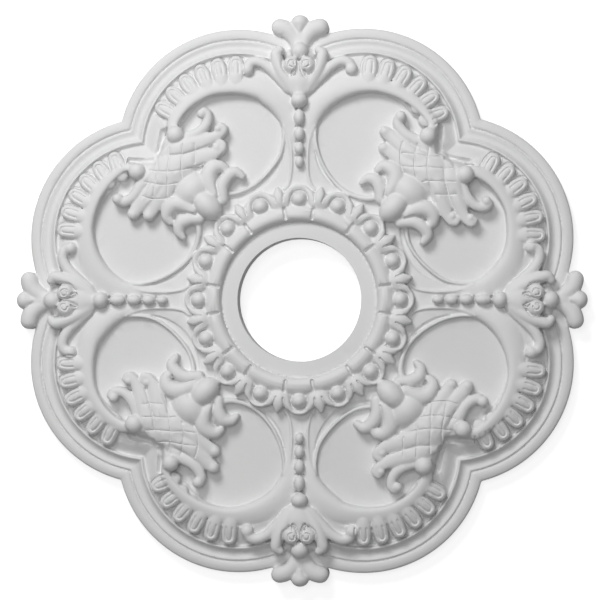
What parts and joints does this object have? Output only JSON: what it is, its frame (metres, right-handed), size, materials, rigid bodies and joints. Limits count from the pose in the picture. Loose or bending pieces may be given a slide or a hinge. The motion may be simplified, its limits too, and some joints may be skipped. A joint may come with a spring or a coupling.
{
  "type": "ceiling rose",
  "caption": "Round ornamental ceiling rose with a lobed moulded rim, scroll frames, diagonal cartouches, bead strings and a central hole for a lamp.",
  "frame": {"origin": "on the axis of the centre hole, in the plane of the flat back that lies against the ceiling", "axes": "+Z along the hole's axis, out of the flat back towards the ornament; +X and +Y run out to two of the four finials. Fixed to a ceiling, the part is turned over, so that +Z points down into the room"},
  "size_m": [0.4572, 0.4572, 0.037],
  "materials": {
    "primed_moulding": "factory primed rigid foam moulding, matt off-white, with soft cast edges"
  },
  "bodies": {
    "root": {"ceiling_rose": "primed_moulding"}
  },
  "joints": []
}
